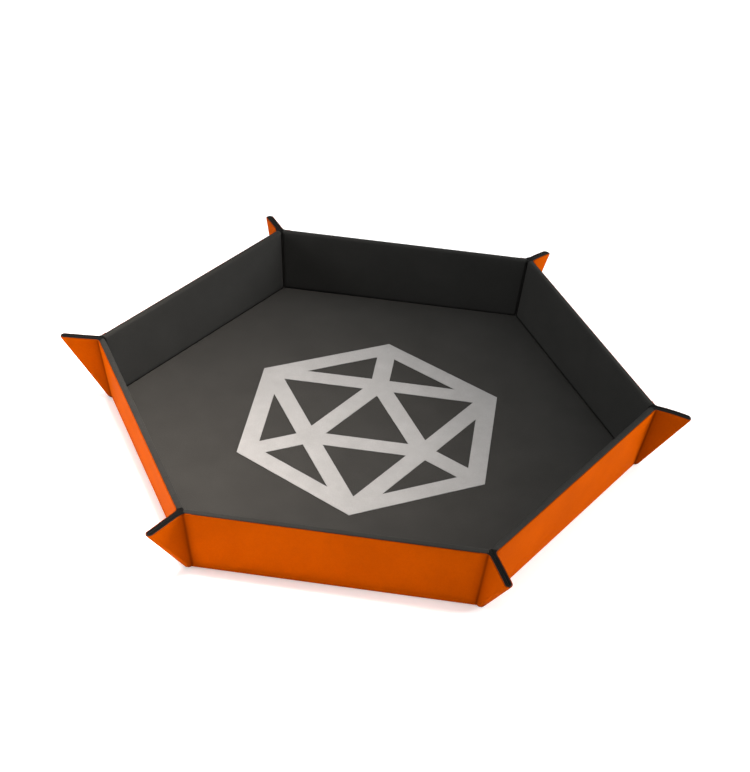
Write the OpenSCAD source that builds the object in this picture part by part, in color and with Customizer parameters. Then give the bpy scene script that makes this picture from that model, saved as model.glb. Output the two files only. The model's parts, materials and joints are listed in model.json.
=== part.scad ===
// Folding hexagonal tray for rolling dice, shown standing.
// The origin is the centre of the floor's underside, with two corners of the floor on the X axis.
// Six walls hinge on the floor's edges. At each corner the cover goes on without a seam as two
// three-sided fold halves, which close face to face on hidden magnets when the walls stand.

/* [Tray] */
// Width of the floor between two opposite edges
floor_flats = 190; // [150:5:240]
// Height of a wall along its slope
wall_h = 30; // [24:1:36]
// Angle a wall turns through from flat to standing
stand_angle = 82; // [76:1:86]

/* [Layers] */
// Thickness of the outer cover
cover_t = 0.4; // [0.3:0.05:0.6]
// Thickness of the stiffening boards
board_t = 2; // [1.5:0.1:2.5]
// Thickness of the lining on the boards
lining_t = 0.5; // [0.4:0.05:0.8]
// Thickness of the padded lining of a corner fold
fold_lining_t = 1.1; // [1:0.05:1.4]

/* [Creases] */
// Gap from a hinge line to the cover on each side of it
cover_gap = 0.3; // [0.25:0.05:0.5]
// Gap from a floor edge to the boards on each side of it
board_gap = 2.2; // [2.1:0.05:3]
// Gap from a floor edge to the lining on each side of it
lining_gap = 2.5; // [2.45:0.05:3.2]
// Gap from a corner's middle line to the edge of each fold half
middle_gap = 1; // [0.9:0.05:1.4]
// Gap between the two standing halves of a corner fold
closed_gap = 0.3; // [0.2:0.02:0.4]
// Height above the floor's edge at which a corner fold starts
fold_start = 3; // [2:0.1:5]

/* [Magnets] */
// Diameter of a magnet
magnet_d = 8; // [6:0.5:9]
// Thickness of a magnet
magnet_t = 0.6; // [0.5:0.05:0.65]
// Clearance around a magnet in its pocket
magnet_play = 0.1; // [0.05:0.05:0.2]
// Distance from a magnet's pocket to the edges of its fold half
magnet_margin = 1.3; // [1:0.1:2]

/* [Print] */
// Width of the printed die across its corners
print_w = 116; // [60:2:120]
// Width of the printed lines
print_line = 7.5; // [3:0.5:8]
// Thickness of the printed ink
print_t = 0.15; // [0.1:0.05:0.2]

/* [Hidden] */
SIDES = 6;
WALLS = [1 : SIDES];
HANDS = ["l", "r"];
LAYERS = ["cover", "board", "lining"];
FOLD_PIECES = ["cover", "lining", "magnet"];

half_turn = 180 / SIDES;
apothem = floor_flats / 2;
corner_r = apothem / cos(half_turn);
edge_l = 2 * apothem * tan(half_turn);
// Every hinge line runs in the middle of the cover's thickness
hinge_z = cover_t / 2;
board_top = cover_t + board_t;
panel_t = board_top + lining_t;
fold_t = cover_t + fold_lining_t;
// A side hinge leans out of its wall's plane square, so that its fold half closes on the corner's plane
side_lean = atan(cos(stand_angle) * tan(half_turn));
fold_angle = acos(sin(stand_angle) * sin(half_turn));
// Distance along the floor's edge from its corner to the side hinge, which leaves room for the half's thickness
side_offset = (closed_gap / 2 + fold_t - hinge_z) / cos(half_turn);
side_direction = half_turn - side_lean;

cover_colour = [0.84, 0.34, 0.02];
board_colour = [0.55, 0.5, 0.42];
lining_colour = [0.17, 0.165, 0.16];
print_colour = [0.78, 0.78, 0.77];
magnet_colour = [0.75, 0.75, 0.76];

// Direction in which wall k faces, with wall 5 at the front
function wall_angle(k) = half_turn + (k - 1) * 2 * half_turn;

// Half length of a wall at distance v from the floor's edge, short of the side hinge by gap
function half_length(v, gap) =
    edge_l / 2 - side_offset + v * tan(side_lean) - gap / cos(side_lean);

// Points of a flat corner fold. x runs out from the floor's corner, and the half's own wall is on the +y side
function side_hinge_point(v) = [
    v / cos(side_lean) * cos(side_direction) - side_offset * sin(half_turn),
    v / cos(side_lean) * sin(side_direction) + side_offset * cos(half_turn)
];
function root_point(v) = side_hinge_point(v)
    + cover_gap / cos(side_lean) * [sin(half_turn), -cos(half_turn)];
function middle_point(v, y) = [(v - y * sin(half_turn)) / cos(half_turn), y];

module layer(bottom, thickness) {
    translate([0, 0, bottom])
        linear_extrude(height = thickness)
            children();
}

// Stands a wall that is drawn flat, x out from the floor's edge and y along it
module on_wall(k) {
    rotate([0, 0, wall_angle(k)])
        translate([apothem, 0, hinge_z])
            rotate([0, -stand_angle, 0])
                translate([0, 0, -hinge_z])
                    children();
}

// Closes a fold half that is drawn flat. "l" and "r" are as seen from outside the wall
module on_fold(k, hand) {
    right = hand == "r" ? 1 : 0;
    side_hinge = side_hinge_point(0);
    rotate([0, 0, wall_angle(k) + (2 * right - 1) * half_turn])
        mirror([0, right, 0])
            translate([corner_r, 0, hinge_z])
                rotate(a = stand_angle, v = [sin(half_turn), -cos(half_turn), 0])
                    translate(side_hinge)
                        rotate(a = fold_angle, v = [cos(side_direction), sin(side_direction), 0])
                            translate([-side_hinge.x, -side_hinge.y, -hinge_z])
                                children();
}

module floor_outline(gap) {
    circle(r = (apothem - gap) / cos(half_turn), $fn = SIDES);
}

module floor_cover() {
    color(cover_colour)
        layer(0, cover_t)
            floor_outline(cover_gap);
}

module floor_board() {
    color(board_colour)
        layer(cover_t, board_t)
            floor_outline(board_gap);
}

module floor_lining() {
    color(lining_colour)
        layer(board_top, lining_t)
            floor_outline(lining_gap);
}

module ring(corners, r) {
    difference() {
        circle(r = r, $fn = corners);
        circle(r = r - print_line / cos(180 / corners), $fn = corners);
    }
}

// A printed line from radius r0 on the X axis to a point at radius r1 and angle a
module spoke(r0, r1, a) {
    run = [r1 * cos(a) - r0, r1 * sin(a)];
    translate([r0, 0])
        rotate(atan2(run.y, run.x))
            translate([0, -print_line / 2])
                square([norm(run), print_line]);
}

// A twenty-sided die seen on one face, as an outline
module floor_print() {
    outer_r = print_w / 2;
    line_r = outer_r - print_line / 2;
    face_r = 0.6 * outer_r;
    color(print_colour)
        layer(panel_t, print_t)
            rotate(90) {
                ring(SIDES, outer_r);
                ring(3, face_r);
                for (turn = [0 : 120 : 240])
                    rotate(turn)
                        for (a = [-60, 0, 60])
                            spoke(face_r - print_line, line_r, a);
            }
}

module wall_outline(start, end, gap) {
    polygon([
        [start, -half_length(start, gap)],
        [end, -half_length(end, gap)],
        [end, half_length(end, gap)],
        [start, half_length(start, gap)]
    ]);
}

module wall_cover(k) {
    color(cover_colour)
        on_wall(k)
            layer(0, cover_t)
                wall_outline(cover_gap, wall_h, cover_gap);
}

module wall_board(k) {
    color(board_colour)
        on_wall(k)
            layer(cover_t, board_t)
                wall_outline(board_gap, wall_h - lining_t, cover_gap);
}

// The lining turns over the top of the board and meets the cover
module wall_lining(k) {
    color(lining_colour)
        on_wall(k) {
            layer(board_top, lining_t)
                wall_outline(lining_gap, wall_h, cover_gap);
            layer(cover_t, panel_t - cover_t)
                wall_outline(wall_h - lining_t, wall_h, cover_gap);
        }
}

module fold_outline() {
    polygon([
        root_point(fold_start),
        middle_point(fold_start, middle_gap),
        middle_point(wall_h, middle_gap),
        root_point(wall_h)
    ]);
}

module at_magnet() {
    inset = magnet_margin + magnet_play + magnet_d / 2;
    translate(middle_point(wall_h - inset, middle_gap + inset))
        children();
}

module ear_cover(k, hand) {
    color(cover_colour)
        on_fold(k, hand)
            layer(0, cover_t)
                fold_outline();
}

// The pocket for the magnet opens towards the cover, so that lining covers the magnet's pulling face
module ear_lining(k, hand) {
    color(lining_colour)
        on_fold(k, hand)
            difference() {
                layer(cover_t, fold_lining_t)
                    fold_outline();
                layer(0, cover_t + magnet_t + magnet_play)
                    at_magnet()
                        circle(d = magnet_d + 2 * magnet_play, $fn = 48);
            }
}

module ear_magnet(k, hand) {
    color(magnet_colour)
        on_fold(k, hand)
            layer(cover_t, magnet_t)
                at_magnet()
                    circle(d = magnet_d, $fn = 48);
}

floor_cover();
floor_board();
floor_lining();
floor_print();
for (k = WALLS) {
    wall_cover(k);
    wall_board(k);
    wall_lining(k);
    for (hand = HANDS) {
        ear_cover(k, hand);
        ear_lining(k, hand);
        ear_magnet(k, hand);
    }
}
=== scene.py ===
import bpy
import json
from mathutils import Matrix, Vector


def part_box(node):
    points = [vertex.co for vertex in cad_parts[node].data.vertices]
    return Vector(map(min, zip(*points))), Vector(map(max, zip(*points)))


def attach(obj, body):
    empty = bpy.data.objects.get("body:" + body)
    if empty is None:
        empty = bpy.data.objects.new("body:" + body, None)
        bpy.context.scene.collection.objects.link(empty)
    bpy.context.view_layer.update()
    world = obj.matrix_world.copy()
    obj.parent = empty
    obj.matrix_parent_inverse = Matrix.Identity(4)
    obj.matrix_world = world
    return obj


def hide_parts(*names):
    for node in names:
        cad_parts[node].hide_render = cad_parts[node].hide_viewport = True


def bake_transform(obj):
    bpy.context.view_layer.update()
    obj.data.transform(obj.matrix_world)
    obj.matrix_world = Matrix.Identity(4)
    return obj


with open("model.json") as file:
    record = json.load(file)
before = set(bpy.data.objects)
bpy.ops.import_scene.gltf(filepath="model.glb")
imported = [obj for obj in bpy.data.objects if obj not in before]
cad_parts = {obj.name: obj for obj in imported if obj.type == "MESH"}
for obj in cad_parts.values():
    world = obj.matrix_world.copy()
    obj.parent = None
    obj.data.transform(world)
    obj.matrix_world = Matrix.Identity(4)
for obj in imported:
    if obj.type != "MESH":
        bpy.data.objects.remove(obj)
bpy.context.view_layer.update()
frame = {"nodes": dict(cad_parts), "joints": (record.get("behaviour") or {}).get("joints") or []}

import json
import math

import bmesh
import bpy
from mathutils import Matrix, Vector, noise

# A folding dice tray. All lengths are in metres, in the frame of the CAD model. The outer cover and the
# dark lining are modelled here as cloth. Boards, magnets and the print are the CAD's own pieces.
#
# Each wall is described by its flat pattern: v runs from the floor's edge up the wall, u runs along
# the edge, and depth goes from the cover's outer face towards the lining. At a corner, q runs from the
# side hinge out over the fold half, and is negative on the wall.

MM = 0.001
WALLS = range(1, 7)
HANDS = {"l": -1, "r": 1}
HALF_TURN = math.radians(30)

# ---------------------------------------------------------------- sizes, from the frame

joints = {joint["name"]: joint for joint in frame["joints"]}
first_hinge = Vector(joints["wall_1_fold"]["pos_m"])
hinge_z = first_hinge.z
apothem = math.hypot(first_hinge.x, first_hinge.y)
corner_r = apothem / math.cos(HALF_TURN)
edge_l = 2 * apothem * math.tan(HALF_TURN)
stand = math.radians(joints["wall_1_fold"]["range_deg"][1])
fold = math.acos(math.sin(stand) * math.sin(HALF_TURN))
side_lean = math.atan(math.cos(stand) * math.tan(HALF_TURN))
side_direction = HALF_TURN - side_lean
side_hinge = Vector(joints["ear_1l_fold"]["pos_m"])
side_offset = math.hypot(side_hinge.x - corner_r, side_hinge.y)

cover_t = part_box("floor_cover")[1].z
board_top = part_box("floor_board")[1].z
panel_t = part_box("floor_lining")[1].z
closed_gap = 2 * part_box("ear_1l_lining")[0].y
fold_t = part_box("ear_1l_cover")[1].y - closed_gap / 2
wall_h = (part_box("wall_2_cover")[1].z - hinge_z * (1 + math.cos(stand))) / math.sin(stand)

# ---------------------------------------------------------------- how the cloth is made up

CREASE_R = 1.0 * MM      # roundness of the cover's bend under a floor edge
SIDE_R = 1.9 * MM        # and of its bend from a wall into a corner fold
COVER_STRIP = 4 * MM     # the part of a crease strip that lies under the floor
CREASE_TOP = 1.2 * MM    # where the wall's cover takes over from the crease strip
COVER_DROP = 0.3 * MM    # how far the cover's edge stays below the rim
EAR_SEAM = 3.2 * MM      # where a fold half's cover takes over from the wall's
LIP = 1.45 * MM          # reach of the round middle fold, in the fold's own plane
LIP_SHARE = 0.6          # the most of a fold half's width that it takes up
LIP_END = 0.07 * MM      # how far the middle fold's edge stands past the fold half's inner face
SKIVED = 0.7             # the part of its thickness that the cover loses on the way to that edge
FLAT_GAP = 0.01 * MM     # between the edge of a fold half and the corner's plane, laid flat
TIP_R = 1.1 * MM         # roundness of a corner fold's tip
TIP_TRIM = 0.8           # how far that goes in at the top, as a share of TIP_R
RIPPLE = 0.07 * MM       # unevenness of the glued cloth
RIPPLE_LENGTH = 16       # its scale in the flat pattern, in millimetres
RIPPLE_CALM = 3 * MM     # how near its edges the cloth gets calm
LIP_CALM = 2 * MM        # and how near a middle fold's edge

# How far those two bends reach from their hinge lines
crease_reach = CREASE_R * math.tan(stand / 2)
side_reach = SIDE_R * math.tan(fold / 2)

CHANNEL = 2.05 * MM      # half width of the pressed channel over a hinge line
CHANNEL_TOP = 0.95 * MM
LINING_R = 1.0 * MM      # roundness of the lining over a board's edge
LINING_EDGE = 0.1 * MM   # its thickness there
RIM_R = 1.1 * MM         # roundness of the rim on its inner side
RIM_OUTER_R = 0.4 * MM   # and where the lining meets the cover
RIM_EDGE = 0.45 * MM     # thickness of the lining over the rim
TURN_OVER = 3 * MM       # length of lining that goes over the rim
SIDE_GAP = 0.3 * MM      # between a wall's lining and its side hinge
SOFT_END = 0.9 * MM      # roundness of the lining's ends in the inner corners
SOFT_DROP = 0.45         # how far those ends sink, as a share of that
RIM_DROP = 0.1 * MM      # the most that those ends sink at the rim
EAR_START = 0.5 * MM     # where a fold half's lining starts
WEDGE = 2.0 * MM         # how far it reaches in behind the wall's end
WEDGE_GAP = 0.15 * MM    # between that wedge and the wall's end
EAR_BEVEL = 0.15 * MM    # of the lining's top edge in a corner fold
EAR_EDGE = 1.7 * LIP_END # how far its mating face steps back where the middle fold's edge comes round it
PLAY = 0.05 * MM         # between the lining and what it is glued to
FLOOR_PLAY = 0.01 * MM   # and between the floor's lining and its board

# How far each corner fold's tip slides down the fold's edge, from the corner on the right round by the
# back. Cloth isn't exact. The power says how late the slide sets in on the way out to the tip.
TIP_DIPS = [2.2 * MM, 1.8 * MM, 0.5 * MM, -0.4 * MM, -1.2 * MM, 1.8 * MM]
TIP_DIP_POWER = 1.5

# Painted shade on the cloth, from 0 to 1: how far its colour turns towards its colour in full painted
# shade
PAINTED_GAP_SHADOW = 1.0        # painted shadow on the inside of a crease strip, where it shows in the gap that the lining's corners don't quite cover
CUT_EDGE_AND_PAINTED_SHADE = 0.6          # of the cover's cut edge: the cut cloth's browner colour, plus painted shade where it meets the rim's lining
CUT_W = 0.5              # its width, as a share of the cover's thickness
PAINTED_LINE_SHADE = 0.4         # painted shade of the cover in the crease line at a side hinge
LINE_W = 0.8 * MM        # half its width
PAINTED_VALLEY_SHADE = 0.5       # painted shade of the cover on both sides of it, where the valley is in shade
FOLD_FADE = 5 * MM       # how slowly that fades on the fold half
WALL_FADE = 1.3 * MM     # and on the wall
PAINTED_RIM_SHADE = 0.2          # painted shade on the lining where it is turned over the rim, darkening the rim's lit top
RIM_FADE = 1.5           # how steeply it gets so dark there
PAINTED_TOP_SHADE = 0.97         # painted shade, nearly black as in a recess, on the lining's edge on top of a corner fold

SMOOTH_ANGLE = math.radians(50)
CENTRE = 0.02            # size of the flat cap in the middle of a floor sheet, as a share of the sheet
QUARTER_TURN = 0.5523    # handle length of a cubic curve that follows a quarter of a circle

# ---------------------------------------------------------------- colours, camera and light

ORANGE = (0.395, 0.06, 0.0001)
ORANGE_DEEP = (0.345, 0.0517, 0.0001)
# the cover's colour in full painted shade
ORANGE_IN_PAINTED_SHADE = (0.1, 0.012, 0.0)
LINING = (0.0235, 0.0235, 0.0222)
LINING_DEEP = (0.0195, 0.0194, 0.0184)
# the lining's colour in full painted shade
LINING_IN_PAINTED_SHADE = (0.0012, 0.0012, 0.0011)
INK = (0.215, 0.219, 0.22)
INK_DEEP = (0.168, 0.17, 0.171)
BOARD = (0.06, 0.056, 0.05)
BOARD_DEEP = (0.03, 0.028, 0.025)
NICKEL = (0.7, 0.69, 0.66)
NICKEL_DEEP = (0.55, 0.54, 0.51)

CAMERA_TURNS = (5.914, 36.897, 3.627)    # round the tray, above the horizon, and roll, in degrees
CAMERA_TARGET = Vector((-0.0022, 0.0303, 0))
CAMERA_DISTANCE = 0.7286
CAMERA_LENS = 79.21                      # in millimetres, on a frame 36 mm wide

HORIZON = 1.05                           # brightness of the dome where it meets the floor
DOME = 0.45                              # and overhead
DOME_FALL = 0.12                         # sine of the angle at which it is as dim as overhead
FLOOR_REACH = 30
FLOOR_DROP = 0.05 * MM                   # how far the studio's floor stays below the tray

# ---------------------------------------------------------------- places

class Wall:
    """Axes of a standing wall: out of the floor's edge, along it, up the slope and out of the cover."""

    def __init__(self, k):
        angle = HALF_TURN * (2 * k - 1)
        self.out = Vector((math.cos(angle), math.sin(angle), 0))
        self.along = Vector((-math.sin(angle), math.cos(angle), 0))
        self.origin = self.out * apothem + Vector((0, 0, hinge_z))
        self.rise = self.out * math.cos(stand) + Vector((0, 0, math.sin(stand)))
        self.skin = self.out * math.sin(stand) - Vector((0, 0, math.cos(stand)))

    def at(self, x, u, z):
        """The point x out from the hinge line, u along it and z above it."""
        return self.origin + self.out * x + self.along * u + Vector((0, 0, z))

    def cloth(self, v, depth, u):
        """The point of the cloth at the pattern's (v, u), depth in from the cover's outer face."""
        x, z = crease_section(v, depth)
        return self.at(x, u, z)

    def flat(self, v, u):
        """Place in the tray's flat pattern, in millimetres, for textures."""
        spot = self.out * (apothem + v) + self.along * u
        return (spot.x / MM, spot.y / MM)


class Fold:
    """Axes of a closed fold half: up its side hinge, out along the fold, and out of its cover."""

    def __init__(self, k, hand):
        self.wall = Wall(k)
        self.sign = HANDS[hand]
        self.dip = TIP_DIPS[(k - 1 if hand == "l" else k) % 6]
        wall = self.wall
        self.root = wall.at(0, self.sign * (edge_l / 2 - side_offset), 0)
        self.up = wall.rise * math.cos(side_lean) + wall.along * (self.sign * math.sin(side_lean))
        inward = wall.rise * math.sin(side_lean) - wall.along * (self.sign * math.cos(side_lean))
        self.ahead = -inward * math.cos(fold) + wall.skin * math.sin(fold)
        self.skin = inward * math.sin(fold) + wall.skin * math.cos(fold)
        self.bisector = (self.ahead - inward).normalized()

    def at(self, v, q, x, y):
        """The point of section (x, y) that belongs to the pattern's (v, q)."""
        share = max(0, q) / fold_reach(v)
        lower = v - self.dip * v / wall_h * share ** TIP_DIP_POWER
        if x > 0:
            x *= fold_reach(lower) / fold_reach(v)
        height = (lower + max(x, q) * math.sin(side_lean)) / math.cos(side_lean)
        return self.root + self.up * height + self.ahead * x + self.skin * y

    def flat(self, v, q):
        """The same (v, q) as a place in the tray's flat pattern."""
        along_hinge = (v + q * math.sin(side_lean)) / math.cos(side_lean)
        u = edge_l / 2 - side_offset + along_hinge * math.sin(side_lean) + q * math.cos(side_lean)
        return self.wall.flat(v, self.sign * u)


def crease_section(v, depth):
    """Section of the cloth over a floor edge, as (out, up) from the hinge line."""
    lift = depth - hinge_z
    if v <= -crease_reach:
        return v, lift
    if v >= crease_reach:
        return (v * math.cos(stand) - lift * math.sin(stand),
                v * math.sin(stand) + lift * math.cos(stand))
    turn = stand * (v + crease_reach) / (2 * crease_reach) - math.pi / 2
    r = CREASE_R - lift
    return -crease_reach + r * math.cos(turn), CREASE_R + r * math.sin(turn)


def side_section(q, depth):
    """Section of the cover from a wall (q < 0) into a fold half (q > 0), as (ahead, skin)."""
    lift = hinge_z - depth
    if q >= side_reach:
        return q, lift
    if q <= -side_reach:
        return (q * math.cos(fold) + lift * math.sin(fold),
                -q * math.sin(fold) + lift * math.cos(fold))
    turn = -math.pi / 2 - fold * (side_reach - q) / (2 * side_reach)
    r = SIDE_R - lift
    return side_reach + r * math.cos(turn), SIDE_R + r * math.sin(turn)


def half_length(v, gap):
    """Half length of a wall at height v, short of the side hinge by gap."""
    return edge_l / 2 - side_offset + v * math.tan(side_lean) - gap / math.cos(side_lean)


def mitre(x):
    """Half length of a strip that meets its neighbours in the corners' planes, x out from the edge."""
    return (apothem + x) * math.tan(HALF_TURN)


def fold_reach(v):
    """How far q runs at height v before it meets the corner's plane."""
    along_corner = v / math.cos(HALF_TURN) + side_offset / 2
    across_corner = side_offset * math.cos(HALF_TURN)
    return along_corner * math.sin(side_direction) + across_corner * math.cos(side_direction)


def middle(v):
    """Where the middle fold is at height v: just short of that plane, and with the tip rounded."""
    reach = fold_reach(v) - FLAT_GAP
    over = v - (wall_h - TIP_R)
    if over > 0:
        reach -= TIP_TRIM * TIP_R * (1 - math.sqrt(max(0, 1 - (over / TIP_R) ** 2)))
    return reach


def arc(centre, a, b, start, end, steps):
    """Points on an ellipse from start to end, in degrees."""
    turns = [math.radians(start + (end - start) * i / steps) for i in range(steps + 1)]
    return [(centre[0] + a * math.cos(t), centre[1] + b * math.sin(t)) for t in turns]


def spread(low, high, count):
    """Evenly spaced numbers, both ends included."""
    return [low + (high - low) * i / (count - 1) for i in range(count)]


def ripple(flat, v):
    """A slight unevenness of the cover, by its place in the flat pattern; none at its edges."""
    from_edge = min(v - CREASE_TOP, wall_h - COVER_DROP - v)
    calm = min(1, max(0, from_edge / RIPPLE_CALM))
    return RIPPLE * calm * noise.noise(Vector((flat[0], flat[1], 0)) / RIPPLE_LENGTH)


# ---------------------------------------------------------------- meshes

def new_piece(name, rings, material):
    """A closed solid through rings of equal length, capped at both ends. Each spot of a ring is its
    place, its place in the flat pattern, and how much shade is painted into its colour there."""
    shape = bmesh.new()
    flat_layer = shape.loops.layers.uv.new("UVMap")
    # the "shade" attribute holds painted shade, from 0 to 1
    painted_shade_layer = shape.verts.layers.float.new("shade")
    grid, flats = [], {}
    for ring in rings:
        row = [shape.verts.new(place) for place, flat, shade in ring]
        for vert, (place, flat, shade) in zip(row, ring):
            vert[painted_shade_layer] = shade
            flats[vert] = flat
        grid.append(row)
    count = len(grid[0])
    for row, after in zip(grid, grid[1:]):
        for i in range(count):
            j = (i + 1) % count
            shape.faces.new((row[i], row[j], after[j], after[i]))
    caps = [shape.faces.new(grid[0]), shape.faces.new(list(reversed(grid[-1])))]
    for face in shape.faces:
        for loop in face.loops:
            loop[flat_layer].uv = flats[loop.vert]
    bmesh.ops.triangulate(shape, faces=caps)
    bmesh.ops.recalc_face_normals(shape, faces=shape.faces)
    mesh = bpy.data.meshes.new(name)
    shape.to_mesh(mesh)
    shape.free()
    mesh.shade_smooth()
    mesh.set_sharp_from_angle(angle=SMOOTH_ANGLE)
    mesh.materials.append(material)
    piece = bpy.data.objects.new(name, mesh)
    bpy.context.scene.collection.objects.link(piece)
    return piece


def hexagon(r, z, points_per_side=24):
    """A ring of spots round a hexagon of apothem r, at height z."""
    ring = []
    for k in WALLS:
        wall = Wall(k)
        half = r * math.tan(HALF_TURN)
        for u in spread(-half, half, points_per_side)[:-1]:
            place = wall.out * r + wall.along * u + Vector((0, 0, z))
            ring.append((place, (place.x / MM, place.y / MM), 0))
    return ring


def sheet_area(low, high, height):
    """Area of a sheet whose width goes evenly from low to high."""
    return (low + high) / 2 * height


# ---------------------------------------------------------------- the outer cover

def cover_floor(material):
    """The cover under the floor board, out to where the crease strips take over."""
    inset = apothem - COVER_STRIP
    sections = [(CENTRE * inset, 0), (inset, 0), (inset, cover_t), (CENTRE * inset, cover_t)]
    piece = new_piece("cover_floor", [hexagon(r, z) for r, z in sections], material)
    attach(piece, "floor")
    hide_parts("floor_cover")


def cover_crease(k, material):
    """The strip of cover that bends under a floor edge, and runs on under both corners."""
    wall = Wall(k)
    heights = spread(-COVER_STRIP, -crease_reach, 3)[:-1] + spread(-crease_reach, crease_reach, 13)
    heights.append(CREASE_TOP)
    profile = [(v, 0) for v in heights] + [(v, cover_t) for v in reversed(heights)]
    rings = []
    for t in spread(-1, 1, 41):
        ring = []
        for v, depth in profile:
            x, z = crease_section(v, depth)
            # painted shadow on the strip's inside, seen only through the gap past the lining's corners
            shade = PAINTED_GAP_SHADOW if depth else 0
            ring.append((wall.at(x, t * mitre(x), z), wall.flat(v, t * mitre(v)), shade))
        rings.append(ring)
    piece = new_piece(f"cover_crease_{k}", rings, material)
    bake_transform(piece)
    return piece


def cover_wall(k, material, crease):
    """The cover of a wall between its corner folds."""
    wall = Wall(k)
    top = wall_h - COVER_DROP
    heights = spread(CREASE_TOP, top - cover_t / 2, 14)
    edge = arc((top - cover_t / 2, cover_t / 2), cover_t / 2, cover_t / 2, -90, 90, 6)
    profile = [(v, 0) for v in heights[:-1]] + edge + [(v, cover_t) for v in reversed(heights[:-1])]
    rings = []
    for t in spread(-1, 1, 49):
        ring = []
        for v, depth in profile:
            u = t * half_length(v, EAR_SEAM)
            flat = wall.flat(v, u)
            # darker cut edge: browner cut cloth plus painted shade
            ring.append((wall.cloth(v, depth, u) - wall.skin * ripple(flat, v), flat, cut_edge_and_painted_shade(v)))
        rings.append(ring)
    piece = new_piece(f"cover_wall_{k}", rings, material)
    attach(piece, f"wall_{k}")
    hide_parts(f"wall_{k}_cover")
    low, high = 2 * half_length(CREASE_TOP, EAR_SEAM), 2 * half_length(top, EAR_SEAM)
    sheet_area(low, high, top - CREASE_TOP)


def cut_edge_and_painted_shade(v):
    """The cover's cut edge is darker than its face: the cut cloth's browner colour, plus painted shade
    where it meets the rim's lining.
    """
    from_edge = wall_h - COVER_DROP - v
    return CUT_EDGE_AND_PAINTED_SHADE * min(1, max(0, 1 - from_edge / (CUT_W * cover_t)))


def painted_valley_shade(v, q):
    """Painted shade: the cover is darker in the valley between a wall and its corner fold, mostly on the
    fold.
    """
    line = PAINTED_LINE_SHADE * math.exp(-(q / LINE_W) ** 2)
    fade = FOLD_FADE if q > 0 else WALL_FADE
    side = PAINTED_VALLEY_SHADE * math.exp(-abs(q) / fade)
    return max(cut_edge_and_painted_shade(v), min(1, line + side))


def fold_path(v):
    """The outer skin of a fold half at height v: (q, x, y, thickness, outward normal) from the seam
    on the wall to the middle fold, whose edge is rounded and thins out."""
    reach = middle(v)
    lip = min(LIP, LIP_SHARE * reach)
    start = reach - lip
    stops = spread(-EAR_SEAM, -side_reach, 3)[:-1] + spread(-side_reach, min(start, side_reach), 11)
    stops += spread(min(start, side_reach), start + 1e-6, 7)[1:]
    path = []
    for q in stops:
        x, y = side_section(q, 0)
        bent = side_section(q, MM)
        path.append((q, x, y, cover_t, (x - bent[0]) / MM, (y - bent[1]) / MM))
    q, x, y, t, nx, ny = path[-1]
    tangent = (ny, -nx)
    end = (reach, hinge_z - fold_t - LIP_END)
    c1 = (x + tangent[0] * lip * QUARTER_TURN, y + tangent[1] * lip * QUARTER_TURN)
    c2 = (end[0], end[1] + (y - end[1]) * QUARTER_TURN)
    for step in range(1, 9):
        s = step / 8
        w = ((1 - s) ** 3, 3 * s * (1 - s) ** 2, 3 * s * s * (1 - s), s ** 3)
        px = w[0] * x + w[1] * c1[0] + w[2] * c2[0] + w[3] * end[0]
        py = w[0] * y + w[1] * c1[1] + w[2] * c2[1] + w[3] * end[1]
        d = ((1 - s) ** 2, 2 * s * (1 - s), s * s)
        tx = d[0] * (c1[0] - x) + d[1] * (c2[0] - c1[0]) + d[2] * (end[0] - c2[0])
        ty = d[0] * (c1[1] - y) + d[1] * (c2[1] - c1[1]) + d[2] * (end[1] - c2[1])
        size = math.hypot(tx, ty)
        path.append((px, px, py, cover_t * (1 - SKIVED * s * s), -ty / size, tx / size))
    return path


def fold_heights(low, top):
    """Heights of the sections of a corner fold, closer together at its rounded tip."""
    start = wall_h - TIP_R
    heights = spread(low, start, 13)
    heights += [start + (top - start) * math.sin(math.radians(15 * i)) for i in range(1, 7)]
    return heights


def cover_ear(k, hand, material):
    """The cover of a corner fold half, from its seam on the wall round the middle fold."""
    ear = Fold(k, hand)
    top = wall_h - COVER_DROP
    rings = []
    for v in fold_heights(CREASE_TOP, top):
        outer, inner = [], []
        for q, x, y, t, nx, ny in fold_path(v):
            flat = ear.flat(v, q)
            calm = min(1, (middle(v) - x) / LIP_CALM)
            lift = ripple(flat, v) * calm
            # painted shade in the valley on the outer skin, and the cut edge's browner colour and
            # painted shade on the inner skin
            outer.append((ear.at(v, q, x - nx * lift, y - ny * lift), flat, painted_valley_shade(v, q)))
            inner.append((ear.at(v, q, x - nx * t, y - ny * t), flat, cut_edge_and_painted_shade(v)))
        rings.append(outer + list(reversed(inner)))
    piece = new_piece(f"cover_ear_{k}{hand}", rings, material)
    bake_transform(piece)
    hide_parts(f"ear_{k}{hand}_cover")
    low, high = EAR_SEAM + middle(CREASE_TOP), EAR_SEAM + middle(wall_h - TIP_R)
    height = top - CREASE_TOP
    sheet_area(low, high, height)


# ---------------------------------------------------------------- the dark lining

def lining_floor(material):
    """The lining on the floor board, with a round edge along the channels."""
    bottom = board_top + FLOOR_PLAY
    edge = apothem - CHANNEL
    sections = [(CENTRE * apothem, bottom), (edge - LINING_EDGE, bottom)]
    sections += [(edge - LINING_EDGE, CHANNEL_TOP), (edge, CHANNEL_TOP)]
    sections += arc((edge - LINING_R, panel_t - LINING_R), LINING_R, LINING_R, 0, 90, 6)
    sections += [(edge - 2 * LINING_R, panel_t), (0.5 * apothem, panel_t), (CENTRE * apothem, panel_t)]
    piece = new_piece("lining_floor", [hexagon(r, z) for r, z in sections], material)
    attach(piece, "floor")
    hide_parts("floor_lining")


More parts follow.
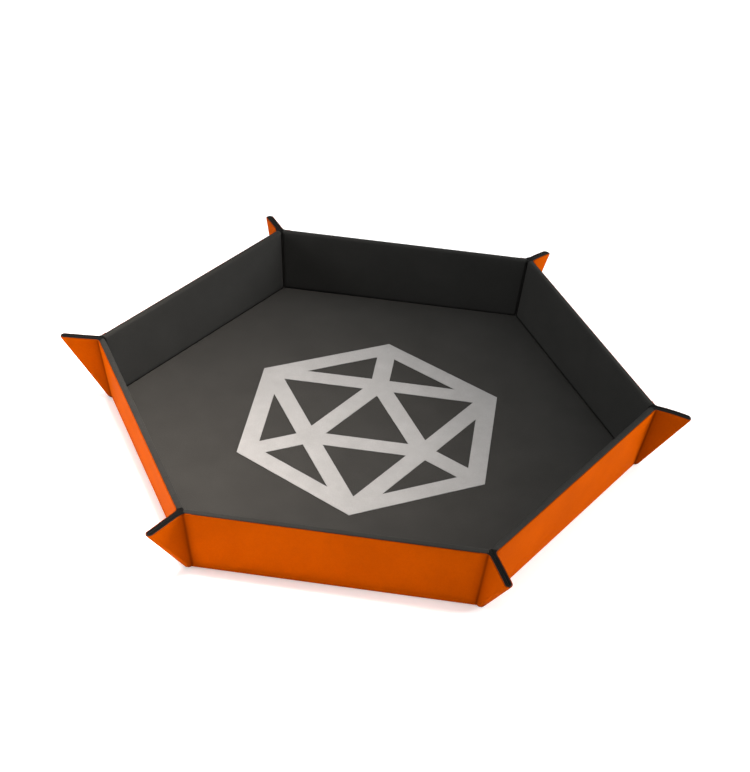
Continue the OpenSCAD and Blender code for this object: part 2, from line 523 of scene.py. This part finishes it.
def wall_profile():
    """Section of a wall's lining, as (v, depth): from the channel in the crease, over the board's inner
    face and the rim, to where it meets the cover, and back along its inside."""
    rim = wall_h - RIM_R
    channel = spread(-CHANNEL, -crease_reach, 3)[:-1] + spread(-crease_reach, crease_reach, 9)
    channel.append(CHANNEL)
    profile = [(v, CHANNEL_TOP) for v in channel]
    profile += arc((CHANNEL + LINING_R, panel_t - LINING_R), LINING_R, LINING_R, 180, 90, 6)
    profile += [(v, panel_t) for v in spread(CHANNEL + LINING_R, rim, 12)[1:-1]]
    profile += arc((rim, panel_t - RIM_R), RIM_R, RIM_R, 90, 0, 8)
    profile += arc((wall_h - RIM_OUTER_R, cover_t + RIM_OUTER_R), RIM_OUTER_R, RIM_OUTER_R, 0, -90, 4)
    behind = CHANNEL + LINING_EDGE
    profile += [(wall_h - RIM_EDGE, board_top + PLAY), (behind, board_top + PLAY)]
    profile.append((behind, cover_t + PLAY))
    profile += [(v, cover_t + PLAY) for v in reversed(channel[:-1])]
    return profile


def lining_wall(k, material):
    """The lining of a wall, from the channel in the crease to the rim."""
    wall = Wall(k)
    rim = wall_h - RIM_R
    profile = wall_profile()
    rings = []
    for t, inset, drop in side_stops(49):
        ring = []
        for v, depth in profile:
            half = half_length(v, SIDE_GAP)
            if v <= crease_reach:
                half = mitre(crease_section(v, depth)[0])
            u = t * (half - inset)
            if depth > board_top:
                depth -= min(drop, RIM_DROP) if v > rim else drop
            # painted shade on the rim's top
            shade = PAINTED_RIM_SHADE * min(1, RIM_FADE * max(0, (v - rim) / RIM_R))
            ring.append((wall.cloth(v, depth, u), wall.flat(v, u), shade))
        rings.append(ring)
    piece = new_piece(f"lining_wall_{k}", rings, material)
    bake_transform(piece)
    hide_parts(f"wall_{k}_lining")
    low, high = 2 * half_length(0, SIDE_GAP), 2 * half_length(wall_h, SIDE_GAP)
    height = wall_h + CHANNEL + TURN_OVER
    sheet_area(low, high, height)


def side_stops(count):
    """Places along a wall as (share of the half length, inset, drop), with soft ends."""
    soft = []
    for step in range(1, 5):
        turn = math.radians(22.5 * step)
        soft.append((SOFT_END * (1 - math.sin(turn)), SOFT_DROP * SOFT_END * (1 - math.cos(turn))))
    stops = [(-1, inset, drop) for inset, drop in reversed(soft)]
    stops += [(t, SOFT_END, 0) for t in spread(-1, 1, count)]
    stops += [(1, inset, drop) for inset, drop in soft]
    return stops


def ear_section(v, inset):
    """Section of a fold half's lining at height v, as (q, x, y): along the cover's inside, round the
    middle fold's edge, back along the mating face, and down the wall's end."""
    mating = hinge_z - fold_t
    edge = mating - LIP_END + inset
    spots = []
    for q, x, y, t, nx, ny in fold_path(v):
        if q >= -side_reach - 1e-9:
            spots.append((q, x - nx * (t + inset), max(y - ny * (t + inset), edge)))
    q = spots[-1][0]
    start = q - inset - 8 * EAR_EDGE
    spots[-1] = (q, q - inset, edge)
    spots.append((q, q - inset - EAR_EDGE, mating - EAR_EDGE + inset))
    spots.append((q, start, mating - EAR_EDGE + inset))
    for x in spread(start, -WEDGE, 7)[2:-1]:
        spots.append((x, x, mating + inset))
    spots.append((-WEDGE, -WEDGE + inset, mating + PLAY + inset))
    for depth in (2 * MM, 1 * MM, cover_t - hinge_z + inset):
        x = -WEDGE_GAP * math.cos(fold) - depth * math.sin(fold)
        y = WEDGE_GAP * math.sin(fold) - depth * math.cos(fold)
        spots.append((-WEDGE_GAP, x, y))
    return spots


def lining_ear(k, hand, material):
    """The lining of a corner fold half: flat inside the fold, and a wedge at the wall's end."""
    ear = Fold(k, hand)
    levels = [(v, 0) for v in fold_heights(EAR_START, wall_h - EAR_BEVEL)]
    levels += [(wall_h - 0.3 * EAR_BEVEL, 0.3 * EAR_BEVEL), (wall_h, EAR_BEVEL)]
    rings = []
    for v, inset in levels:
        # painted shade on the fold's top edge
        shade = PAINTED_TOP_SHADE * min(1, max(0, 1 - (wall_h - v) / EAR_BEVEL))
        rings.append([(ear.at(v, q, x, y), ear.flat(v, q), shade) for q, x, y in ear_section(v, inset)])
    piece = new_piece(f"lining_ear_{k}{hand}", rings, material)
    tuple(ear.root)
    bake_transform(piece)
    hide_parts(f"ear_{k}{hand}_lining")
    low, high = WEDGE + middle(0), WEDGE + middle(wall_h - TIP_R)
    sheet_area(low, high, wall_h)


# ---------------------------------------------------------------- materials

class Nodes:
    """Adds shader nodes to a new material, one call per node."""

    def __init__(self, name):
        self.material = bpy.data.materials.new(name)
        self.material.use_nodes = True
        self.tree = self.material.node_tree
        self.shader = self.tree.nodes["Principled BSDF"]

    def add(self, kind, settings=None, **inputs):
        """A new node, with an underscore for each space in an input's name."""
        node = self.tree.nodes.new("ShaderNode" + kind)
        for name, value in (settings or {}).items():
            setattr(node, name, value)
        for name, value in inputs.items():
            self.set(node.inputs[name.replace("_", " ")], value)
        return node

    def set(self, socket, value):
        if isinstance(value, bpy.types.NodeSocket):
            self.tree.links.new(value, socket)
        else:
            socket.default_value = value

    def shade(self, **inputs):
        for name, value in inputs.items():
            self.set(self.shader.inputs[name.replace("_", " ")], value)

    def flat(self):
        """The flat pattern, in millimetres."""
        return self.add("TexCoord").outputs["UV"]

    def solid(self):
        """Places in the object, in millimetres."""
        place = self.add("TexCoord").outputs["Object"]
        return self.add("Mapping", Vector=place, Scale=(1000, 1000, 1000)).outputs["Vector"]

    def noise(self, place, scale, detail=2, roughness=0.5):
        node = self.add("TexNoise", Vector=place, Scale=scale, Detail=detail, Roughness=roughness)
        return node.outputs["Fac"]

    def ramp(self, value, low, high, colour_low, colour_high):
        """From one colour where the value is low to the other where it is high."""
        node = self.add("ValToRGB", Fac=value)
        ends = zip(node.color_ramp.elements, (low, high), (colour_low, colour_high))
        for end, position, colour in ends:
            end.position = position
            end.color = (*colour, 1)
        return node.outputs["Color"]

    def times(self, colour, factor):
        node = self.add("Mix", {"data_type": "RGBA", "blend_type": "MULTIPLY"}, Factor=1.0)
        self.set(node.inputs[6], colour)
        self.set(node.inputs[7], factor)
        return node.outputs[2]

    def with_painted_shade(self, colour, dark):
        """The colour, turning towards its colour in painted shade as far as the mesh's painted shade
        says.
        """
        shade = self.add("Attribute", {"attribute_name": "shade"}).outputs["Fac"]
        node = self.add("Mix", {"data_type": "RGBA"}, Factor=shade)
        self.set(node.inputs[6], colour)
        self.set(node.inputs[7], (*dark, 1))
        return node.outputs[2]

    def span(self, value, low, high, to_low, to_high):
        """The value, with low to high turned into to_low to to_high."""
        node = self.add("MapRange", Value=value, From_Min=low, From_Max=high)
        self.set(node.inputs["To Min"], to_low)
        self.set(node.inputs["To Max"], to_high)
        return node.outputs["Result"]

    def bump(self, height, strength, distance, normal=None):
        node = self.add("Bump", Height=height, Strength=strength, Distance=distance)
        if normal:
            self.set(node.inputs["Normal"], normal)
        return node.outputs["Normal"]


def coated_cloth():
    """Orange coated cloth: a fine pebbled grain, with painted shade in its valleys and along its cut
    edges, whose cut cloth is also browner.
    """
    m = Nodes("orange_coated_cloth")
    place = m.flat()
    cells = m.add("TexVoronoi", {"feature": "SMOOTH_F1"}, Vector=place, Scale=1.3, Smoothness=0.6)
    pebble = cells.outputs["Distance"]
    grain = m.noise(place, 3.2, 3, 0.6)
    patches = m.noise(place, 0.045, 3, 0.55)
    tint = m.ramp(patches, 0.3, 0.7, ORANGE_DEEP, ORANGE)
    tint = m.times(tint, m.span(pebble, 0.1, 0.75, 1.0, 0.93))
    # painted shade, by the mesh's shade attribute
    tint = m.with_painted_shade(tint, ORANGE_IN_PAINTED_SHADE)
    relief = m.bump(pebble, 0.3, 0.0001)
    relief = m.bump(grain, 0.2, 0.00006, relief)
    m.shade(Base_Color=tint, Roughness=m.span(grain, 0.3, 0.7, 0.5, 0.62), Normal=relief)
    m.shader.inputs["Specular IOR Level"].default_value = 0.0015
    return m.material


def microfibre():
    """Dark lining with a short nap that catches light from the side."""
    m = Nodes("dark_microfibre")
    place = m.flat()
    nap = m.noise(place, 2.6, 4, 0.7)
    strokes = m.noise(place, 0.05, 3, 0.6)
    tint = m.ramp(strokes, 0.3, 0.72, LINING_DEEP, LINING)
    tint = m.times(tint, m.span(nap, 0.3, 0.7, 0.75, 1.25))
    # painted shade on the rim and on the corner folds' top edges, by the mesh's shade attribute
    tint = m.with_painted_shade(tint, LINING_IN_PAINTED_SHADE)
    m.shade(Base_Color=tint, Roughness=0.85, Normal=m.bump(nap, 0.5, 0.00015))
    m.shader.inputs["Sheen Weight"].default_value = 0.03
    m.shader.inputs["Sheen Roughness"].default_value = 0.4
    m.shader.inputs["Sheen Tint"].default_value = (1.0, 0.94, 0.86, 1)
    m.shader.inputs["Specular IOR Level"].default_value = 0.08
    return m.material


def printed_ink():
    """Matt light grey ink on the nap of the lining."""
    m = Nodes("grey_ink")
    place = m.solid()
    nap = m.noise(place, 3.0, 3, 0.7)
    worn = m.noise(place, 0.12, 3, 0.6)
    tint = m.ramp(nap, 0.25, 0.6, INK_DEEP, INK)
    tint = m.times(tint, m.span(worn, 0.3, 0.7, 0.92, 1.04))
    m.shade(Base_Color=tint, Roughness=0.8, Normal=m.bump(nap, 0.4, 0.0001))
    m.shader.inputs["Specular IOR Level"].default_value = 0.2
    return m.material


def grey_board():
    """Pressed grey board, with fibres in it."""
    m = Nodes("pressed_board")
    pressed = m.add("Mapping", Vector=m.solid(), Scale=(1, 1, 4)).outputs["Vector"]
    fibre = m.noise(pressed, 1.4, 5, 0.7)
    tint = m.ramp(fibre, 0.3, 0.7, BOARD_DEEP, BOARD)
    m.shade(Base_Color=tint, Roughness=0.9, Normal=m.bump(fibre, 0.3, 0.0001))
    return m.material


def nickel():
    """Nickel plate on the small magnets, slightly brushed."""
    m = Nodes("nickel_plate")
    drawn_out = m.add("Mapping", Vector=m.solid(), Scale=(0.4, 6, 6)).outputs["Vector"]
    brushed = m.noise(drawn_out, 1.0, 3, 0.6)
    tint = m.ramp(brushed, 0.3, 0.7, NICKEL_DEEP, NICKEL)
    m.shade(Base_Color=tint, Metallic=1.0, Roughness=m.span(brushed, 0.3, 0.7, 0.22, 0.4))
    return m.material


def dress(name, material):
    """Gives a CAD node a new material."""
    mesh = frame["nodes"][name].data
    mesh.materials.clear()
    mesh.materials.append(material)


# ---------------------------------------------------------------- camera, floor and light

def camera():
    """The photo's view."""
    azimuth, elevation, roll = map(math.radians, CAMERA_TURNS)
    right = Vector((math.cos(azimuth), math.sin(azimuth), 0))
    back = Vector((math.sin(azimuth) * math.cos(elevation), -math.cos(azimuth) * math.cos(elevation),
                   math.sin(elevation)))
    up = back.cross(right)
    side = right * math.cos(roll) + up * math.sin(roll)
    top = up * math.cos(roll) - right * math.sin(roll)
    data = bpy.data.cameras.new("camera")
    data.sensor_width = 36
    data.lens = CAMERA_LENS
    data.clip_start = 0.01
    holder = bpy.data.objects.new("camera", data)
    turned = Matrix((side, top, back)).transposed()
    holder.matrix_world = Matrix.Translation(CAMERA_TARGET + back * CAMERA_DISTANCE) @ turned.to_4x4()
    bpy.context.scene.collection.objects.link(holder)
    bpy.context.scene.camera = holder


def lamp(name, kind, place, target, power, **settings):
    data = bpy.data.lights.new(name, kind)
    data.energy = power
    for key, value in settings.items():
        setattr(data, key, value)
    light = bpy.data.objects.new(name, data)
    light.location = place
    light.rotation_mode = "QUATERNION"
    light.rotation_quaternion = (Vector(target) - Vector(place)).to_track_quat("-Z", "Y")
    light.visible_camera = False
    bpy.context.scene.collection.objects.link(light)


def studio_floor():
    mesh = bpy.data.meshes.new("studio_floor")
    signs = [(-1, -1), (1, -1), (1, 1), (-1, 1)]
    mesh.from_pydata([(x * FLOOR_REACH, y * FLOOR_REACH, 0) for x, y in signs], [], [(0, 1, 2, 3)])
    m = Nodes("studio_floor")
    m.shade(Base_Color=(0.95, 0.95, 0.95, 1), Roughness=0.9)
    m.shade(Emission_Color=(1, 1, 1, 1), Emission_Strength=0.25)
    mesh.materials.append(m.material)
    floor = bpy.data.objects.new("studio_floor", mesh)
    floor.location.z = -FLOOR_DROP
    bpy.context.scene.collection.objects.link(floor)


def studio_dome():
    """A soft dome that is white at the horizon, where it meets the floor, and dimmer above."""
    world = bpy.data.worlds.new("studio")
    world.use_nodes = True
    tree = world.node_tree
    dome = tree.nodes["Background"]
    dome.inputs["Color"].default_value = (1, 1, 1, 1)
    place = tree.nodes.new("ShaderNodeTexCoord")
    split = tree.nodes.new("ShaderNodeSeparateXYZ")
    fall = tree.nodes.new("ShaderNodeMapRange")
    fall.inputs["From Max"].default_value = DOME_FALL
    fall.inputs["To Min"].default_value = HORIZON
    fall.inputs["To Max"].default_value = DOME
    tree.links.new(place.outputs["Generated"], split.inputs["Vector"])
    tree.links.new(split.outputs["Z"], fall.inputs["Value"])
    tree.links.new(fall.outputs["Result"], dome.inputs["Strength"])
    bpy.context.scene.world = world


def studio():
    studio_floor()
    studio_dome()
    bpy.context.scene.view_settings.view_transform = "Standard"
    middle_point = (0, 0, 0.01)
    lamp("top_light", "SUN", (0.1, 0.1, 1), middle_point, 1.4, angle=math.radians(70))
    lamp("right_light", "AREA", (0.73, 0.15, 0.2), middle_point, 6.1, shape="DISK", size=0.25)
    lamp("left_light", "AREA", (-0.7, -0.25, 0.25), middle_point, 2.6, shape="DISK", size=0.3)
    lamp("left_spot", "SPOT", (-0.06, -0.03, 0.7), (-0.083, -0.06, 0), 78, color=(1, 0.88, 0.79),
         shadow_soft_size=0.1, spot_size=math.radians(23), spot_blend=1.0)


# ---------------------------------------------------------------- the tray

cloth = coated_cloth()
lining = microfibre()
board = grey_board()
metal = nickel()

cover_floor(cloth)
lining_floor(lining)
dress("floor_print", printed_ink())
dress("floor_board", board)
for k in WALLS:
    cover_wall(k, cloth, cover_crease(k, cloth))
    lining_wall(k, lining)
    dress(f"wall_{k}_board", board)
    for hand in HANDS:
        cover_ear(k, hand, cloth)
        lining_ear(k, hand, lining)
        dress(f"ear_{k}{hand}_magnet", metal)
camera()
studio()
